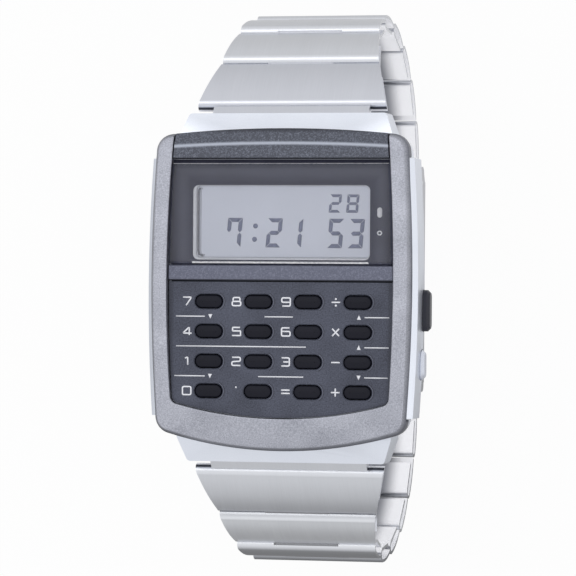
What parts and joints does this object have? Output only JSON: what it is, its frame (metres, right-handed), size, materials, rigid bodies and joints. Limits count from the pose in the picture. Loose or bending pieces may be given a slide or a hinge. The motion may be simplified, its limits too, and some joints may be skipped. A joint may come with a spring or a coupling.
{
  "type": "calculator wristwatch",
  "caption": "Digital calculator wristwatch with a rounded grey case, pill-shaped rubber keys, side buttons and a tapering folded-steel bracelet closed on a fold-over clasp.",
  "frame": {"origin": "on the flat underside of the clasp cover, straight below the centre of the watch case", "axes": "+Z out of the watch face, +Y to 12 o'clock along the band, +X to 3 o'clock, the side with the buttons"},
  "size_m": [0.035, 0.0698, 0.0455],
  "materials": {
    "case_metal": "satin chrome-look plating over moulded resin",
    "bezel_metal": "satin grey metallic coat",
    "bar_metal": "dark gunmetal lacquer with fine flakes",
    "window": "clear, bevelled edge",
    "dark_print": "dark blue-grey print",
    "lcd": "pale grey reflective cell",
    "contact_rubber": "striped conductive rubber",
    "keypad_metal": "dark grey fine-textured print",
    "key_rubber": "matt near-black",
    "module_plastic": "white moulded plastic",
    "board": "green solder mask",
    "chips": "black moulding, bare metal can and contact",
    "cell_steel": "drawn steel can",
    "brass": "plain brass",
    "steel": "brushed stainless steel",
    "seal_rubber": "matt black",
    "button_black": "satin black",
    "button_silver": "satin"
  },
  "bodies": {
    "case": {"case_body": "case_metal", "bezel_frame": "bezel_metal", "top_bar": "bar_metal", "middle_bar": "bar_metal", "display_glass": "window", "display_mask": "dark_print", "lcd_cell": "lcd", "contact_strips": "contact_rubber", "keypad_plate": "keypad_metal", "keypad_mat": "contact_rubber", "module_frame": "module_plastic", "circuit_board": "board", "board_parts": "chips", "battery": "cell_steel", "battery_strap": "steel", "buzzer_disc": "brass", "case_back": "steel", "back_screws": "steel", "case_gasket": "seal_rubber", "button_springs": "steel", "button_seals": "seal_rubber", "upper_spring_bar": "steel", "lower_spring_bar": "steel"},
    "key_7": {"key_7": "key_rubber"},
    "key_8": {"key_8": "key_rubber"},
    "key_9": {"key_9": "key_rubber"},
    "key_divide": {"key_divide": "key_rubber"},
    "key_4": {"key_4": "key_rubber"},
    "key_5": {"key_5": "key_rubber"},
    "key_6": {"key_6": "key_rubber"},
    "key_times": {"key_times": "key_rubber"},
    "key_1": {"key_1": "key_rubber"},
    "key_2": {"key_2": "key_rubber"},
    "key_3": {"key_3": "key_rubber"},
    "key_minus": {"key_minus": "key_rubber"},
    "key_0": {"key_0": "key_rubber"},
    "key_point": {"key_point": "key_rubber"},
    "key_equals": {"key_equals": "key_rubber"},
    "key_plus": {"key_plus": "key_rubber"},
    "mode_button": {"mode_button": "button_black"},
    "adjust_button": {"adjust_button": "button_silver"},
    "upper_end_link": {"upper_end_link": "steel"},
    "upper_link_1": {"upper_link_1": "steel"},
    "upper_link_2": {"upper_link_2": "steel"},
    "upper_link_3": {"upper_link_3": "steel"},
    "upper_link_4": {"upper_link_4": "steel"},
    "upper_link_5": {"upper_link_5": "steel"},
    "upper_link_6": {"upper_link_6": "steel"},
    "upper_link_7": {"upper_link_7": "steel"},
    "lower_end_link": {"lower_end_link": "steel"},
    "lower_link_1": {"lower_link_1": "steel"},
    "lower_link_2": {"lower_link_2": "steel"},
    "lower_link_3": {"lower_link_3": "steel"},
    "lower_link_4": {"lower_link_4": "steel"},
    "lower_link_5": {"lower_link_5": "steel"},
    "lower_link_6": {"lower_link_6": "steel"},
    "lower_link_7": {"lower_link_7": "steel"},
    "clasp_base": {"clasp_base": "steel"},
    "clasp_blade": {"clasp_blade": "steel"},
    "clasp_cover": {"clasp_cover": "steel"}
  },
  "joints": [
    {"name": "key_7_press", "type": "slide", "parent": "case", "child": "key_7", "axis": [0, 0, -1], "range_m": [0, 0.0004], "stiffness_N_per_m": 400},
    {"name": "key_8_press", "type": "slide", "parent": "case", "child": "key_8", "axis": [0, 0, -1], "range_m": [0, 0.0004], "stiffness_N_per_m": 400},
    {"name": "key_9_press", "type": "slide", "parent": "case", "child": "key_9", "axis": [0, 0, -1], "range_m": [0, 0.0004], "stiffness_N_per_m": 400},
    {"name": "key_divide_press", "type": "slide", "parent": "case", "child": "key_divide", "axis": [0, 0, -1], "range_m": [0, 0.0004], "stiffness_N_per_m": 400},
    {"name": "key_4_press", "type": "slide", "parent": "case", "child": "key_4", "axis": [0, 0, -1], "range_m": [0, 0.0004], "stiffness_N_per_m": 400},
    {"name": "key_5_press", "type": "slide", "parent": "case", "child": "key_5", "axis": [0, 0, -1], "range_m": [0, 0.0004], "stiffness_N_per_m": 400},
    {"name": "key_6_press", "type": "slide", "parent": "case", "child": "key_6", "axis": [0, 0, -1], "range_m": [0, 0.0004], "stiffness_N_per_m": 400},
    {"name": "key_times_press", "type": "slide", "parent": "case", "child": "key_times", "axis": [0, 0, -1], "range_m": [0, 0.0004], "stiffness_N_per_m": 400},
    {"name": "key_1_press", "type": "slide", "parent": "case", "child": "key_1", "axis": [0, 0, -1], "range_m": [0, 0.0004], "stiffness_N_per_m": 400},
    {"name": "key_2_press", "type": "slide", "parent": "case", "child": "key_2", "axis": [0, 0, -1], "range_m": [0, 0.0004], "stiffness_N_per_m": 400},
    {"name": "key_3_press", "type": "slide", "parent": "case", "child": "key_3", "axis": [0, 0, -1], "range_m": [0, 0.0004], "stiffness_N_per_m": 400},
    {"name": "key_minus_press", "type": "slide", "parent": "case", "child": "key_minus", "axis": [0, 0, -1], "range_m": [0, 0.0004], "stiffness_N_per_m": 400},
    {"name": "key_0_press", "type": "slide", "parent": "case", "child": "key_0", "axis": [0, 0, -1], "range_m": [0, 0.0004], "stiffness_N_per_m": 400},
    {"name": "key_point_press", "type": "slide", "parent": "case", "child": "key_point", "axis": [0, 0, -1], "range_m": [0, 0.0004], "stiffness_N_per_m": 400},
    {"name": "key_equals_press", "type": "slide", "parent": "case", "child": "key_equals", "axis": [0, 0, -1], "range_m": [0, 0.0004], "stiffness_N_per_m": 400},
    {"name": "key_plus_press", "type": "slide", "parent": "case", "child": "key_plus", "axis": [0, 0, -1], "range_m": [0, 0.0004], "stiffness_N_per_m": 400},
    {"name": "mode_button_press", "type": "slide", "parent": "case", "child": "mode_button", "axis": [-1, 0, 0], "range_m": [0, 0.00045], "stiffness_N_per_m": 600},
    {"name": "adjust_button_press", "type": "slide", "parent": "case", "child": "adjust_button", "axis": [-1, 0, 0], "range_m": [0, 0.00045], "stiffness_N_per_m": 600},
    {"name": "upper_end_link_hinge", "type": "hinge", "parent": "case", "child": "upper_end_link", "pos_m": [0, 0.0203, 0.04053], "axis": [1, 0, 0], "range_deg": [0, 27]},
    {"name": "upper_link_1_hinge", "type": "hinge", "parent": "upper_end_link", "child": "upper_link_1", "pos_m": [0, 0.02857, 0.03406], "axis": [1, 0, 0], "range_deg": [0, 13]},
    {"name": "upper_link_2_hinge", "type": "hinge", "parent": "upper_link_1", "child": "upper_link_2", "pos_m": [0, 0.03248, 0.02925], "axis": [1, 0, 0], "range_deg": [0, 25]},
    {"name": "upper_link_3_hinge", "type": "hinge", "parent": "upper_link_2", "child": "upper_link_3", "pos_m": [0, 0.03398, 0.02323], "axis": [1, 0, 0], "range_deg": [0, 20]},
    {"name": "upper_link_4_hinge", "type": "hinge", "parent": "upper_link_3", "child": "upper_link_4", "pos_m": [0, 0.03333, 0.01706], "axis": [1, 0, 0], "range_deg": [0, 18]},
    {"name": "upper_link_5_hinge", "type": "hinge", "parent": "upper_link_4", "child": "upper_link_5", "pos_m": [0, 0.03081, 0.0114], "axis": [1, 0, 0], "range_deg": [0, 18]},
    {"name": "upper_link_6_hinge", "type": "hinge", "parent": "upper_link_5", "child": "upper_link_6", "pos_m": [0, 0.02666, 0.00679], "axis": [1, 0, 0], "range_deg": [0, 17]},
    {"name": "upper_link_7_hinge", "type": "hinge", "parent": "upper_link_6", "child": "upper_link_7", "pos_m": [0, 0.02134, 0.0036], "axis": [1, 0, 0], "range_deg": [0, 17]},
    {"name": "lower_end_link_hinge", "type": "hinge", "parent": "case", "child": "lower_end_link", "pos_m": [0, -0.0203, 0.04053], "axis": [-1, 0, 0], "range_deg": [0, 27]},
    {"name": "lower_link_1_hinge", "type": "hinge", "parent": "lower_end_link", "child": "lower_link_1", "pos_m": [0, -0.02857, 0.03406], "axis": [-1, 0, 0], "range_deg": [0, 13]},
    {"name": "lower_link_2_hinge", "type": "hinge", "parent": "lower_link_1", "child": "lower_link_2", "pos_m": [0, -0.03248, 0.02925], "axis": [-1, 0, 0], "range_deg": [0, 25]},
    {"name": "lower_link_3_hinge", "type": "hinge", "parent": "lower_link_2", "child": "lower_link_3", "pos_m": [0, -0.03398, 0.02323], "axis": [-1, 0, 0], "range_deg": [0, 20]},
    {"name": "lower_link_4_hinge", "type": "hinge", "parent": "lower_link_3", "child": "lower_link_4", "pos_m": [0, -0.03333, 0.01706], "axis": [-1, 0, 0], "range_deg": [0, 18]},
    {"name": "lower_link_5_hinge", "type": "hinge", "parent": "lower_link_4", "child": "lower_link_5", "pos_m": [0, -0.03081, 0.0114], "axis": [-1, 0, 0], "range_deg": [0, 18]},
    {"name": "lower_link_6_hinge", "type": "hinge", "parent": "lower_link_5", "child": "lower_link_6", "pos_m": [0, -0.02666, 0.00679], "axis": [-1, 0, 0], "range_deg": [0, 17]},
    {"name": "lower_link_7_hinge", "type": "hinge", "parent": "lower_link_6", "child": "lower_link_7", "pos_m": [0, -0.02134, 0.0036], "axis": [-1, 0, 0], "range_deg": [0, 17]},
    {"name": "clasp_base_hinge", "type": "hinge", "parent": "lower_link_7", "child": "clasp_base", "pos_m": [0, -0.01533, 0.0021], "axis": [-1, 0, 0], "range_deg": [0, 14]},
    {"name": "clasp_fold_hinge", "type": "hinge", "parent": "clasp_base", "child": "clasp_blade", "pos_m": [0, 0.007, 0.0021], "axis": [1, 0, 0], "range_deg": [0, 150]},
    {"name": "clasp_cover_hinge", "type": "hinge", "parent": "clasp_blade", "child": "clasp_cover", "pos_m": [0, -0.0127, 0.00155], "axis": [-1, 0, 0], "range_deg": [0, 110]}
  ]
}
